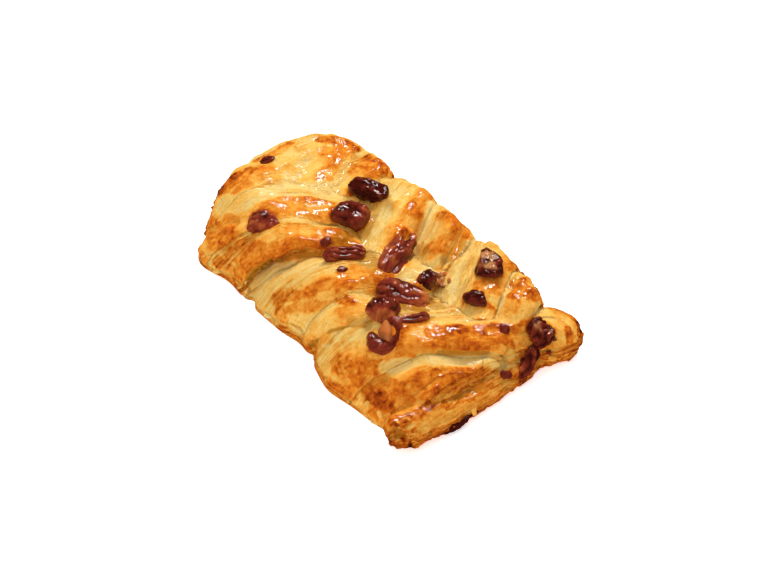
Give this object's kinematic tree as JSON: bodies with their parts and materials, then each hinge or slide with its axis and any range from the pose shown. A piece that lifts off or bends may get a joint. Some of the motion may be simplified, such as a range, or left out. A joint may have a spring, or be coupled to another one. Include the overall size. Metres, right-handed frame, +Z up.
{
  "type": "braided pecan pastry",
  "caption": "Flat braided pastry of glazed flaky dough, its strips folded over each other in turn from both sides, with broken pecans baked into the top.",
  "frame": {"origin": "middle of the pastry in plan, on the surface that it lies on", "axes": "+X along the pastry, from the end where the braid starts to the end where it finishes, +Y across it, +Z up"},
  "size_m": [0.1382, 0.0814, 0.0312],
  "materials": {
    "dough": "baked laminated dough with a patchy clear glaze, cream in the folds and browned on the ridges",
    "pecan": "toasted pecan under a clear glaze, dark red-brown with tan broken faces"
  },
  "bodies": {
    "root": {"dough": "dough", "pecan_01": "pecan", "pecan_02": "pecan", "pecan_03": "pecan", "pecan_04": "pecan", "pecan_05": "pecan", "pecan_06": "pecan", "pecan_07": "pecan", "pecan_08": "pecan", "pecan_09": "pecan", "pecan_10": "pecan", "pecan_11": "pecan", "pecan_12": "pecan", "pecan_13": "pecan", "pecan_14": "pecan"}
  },
  "joints": []
}
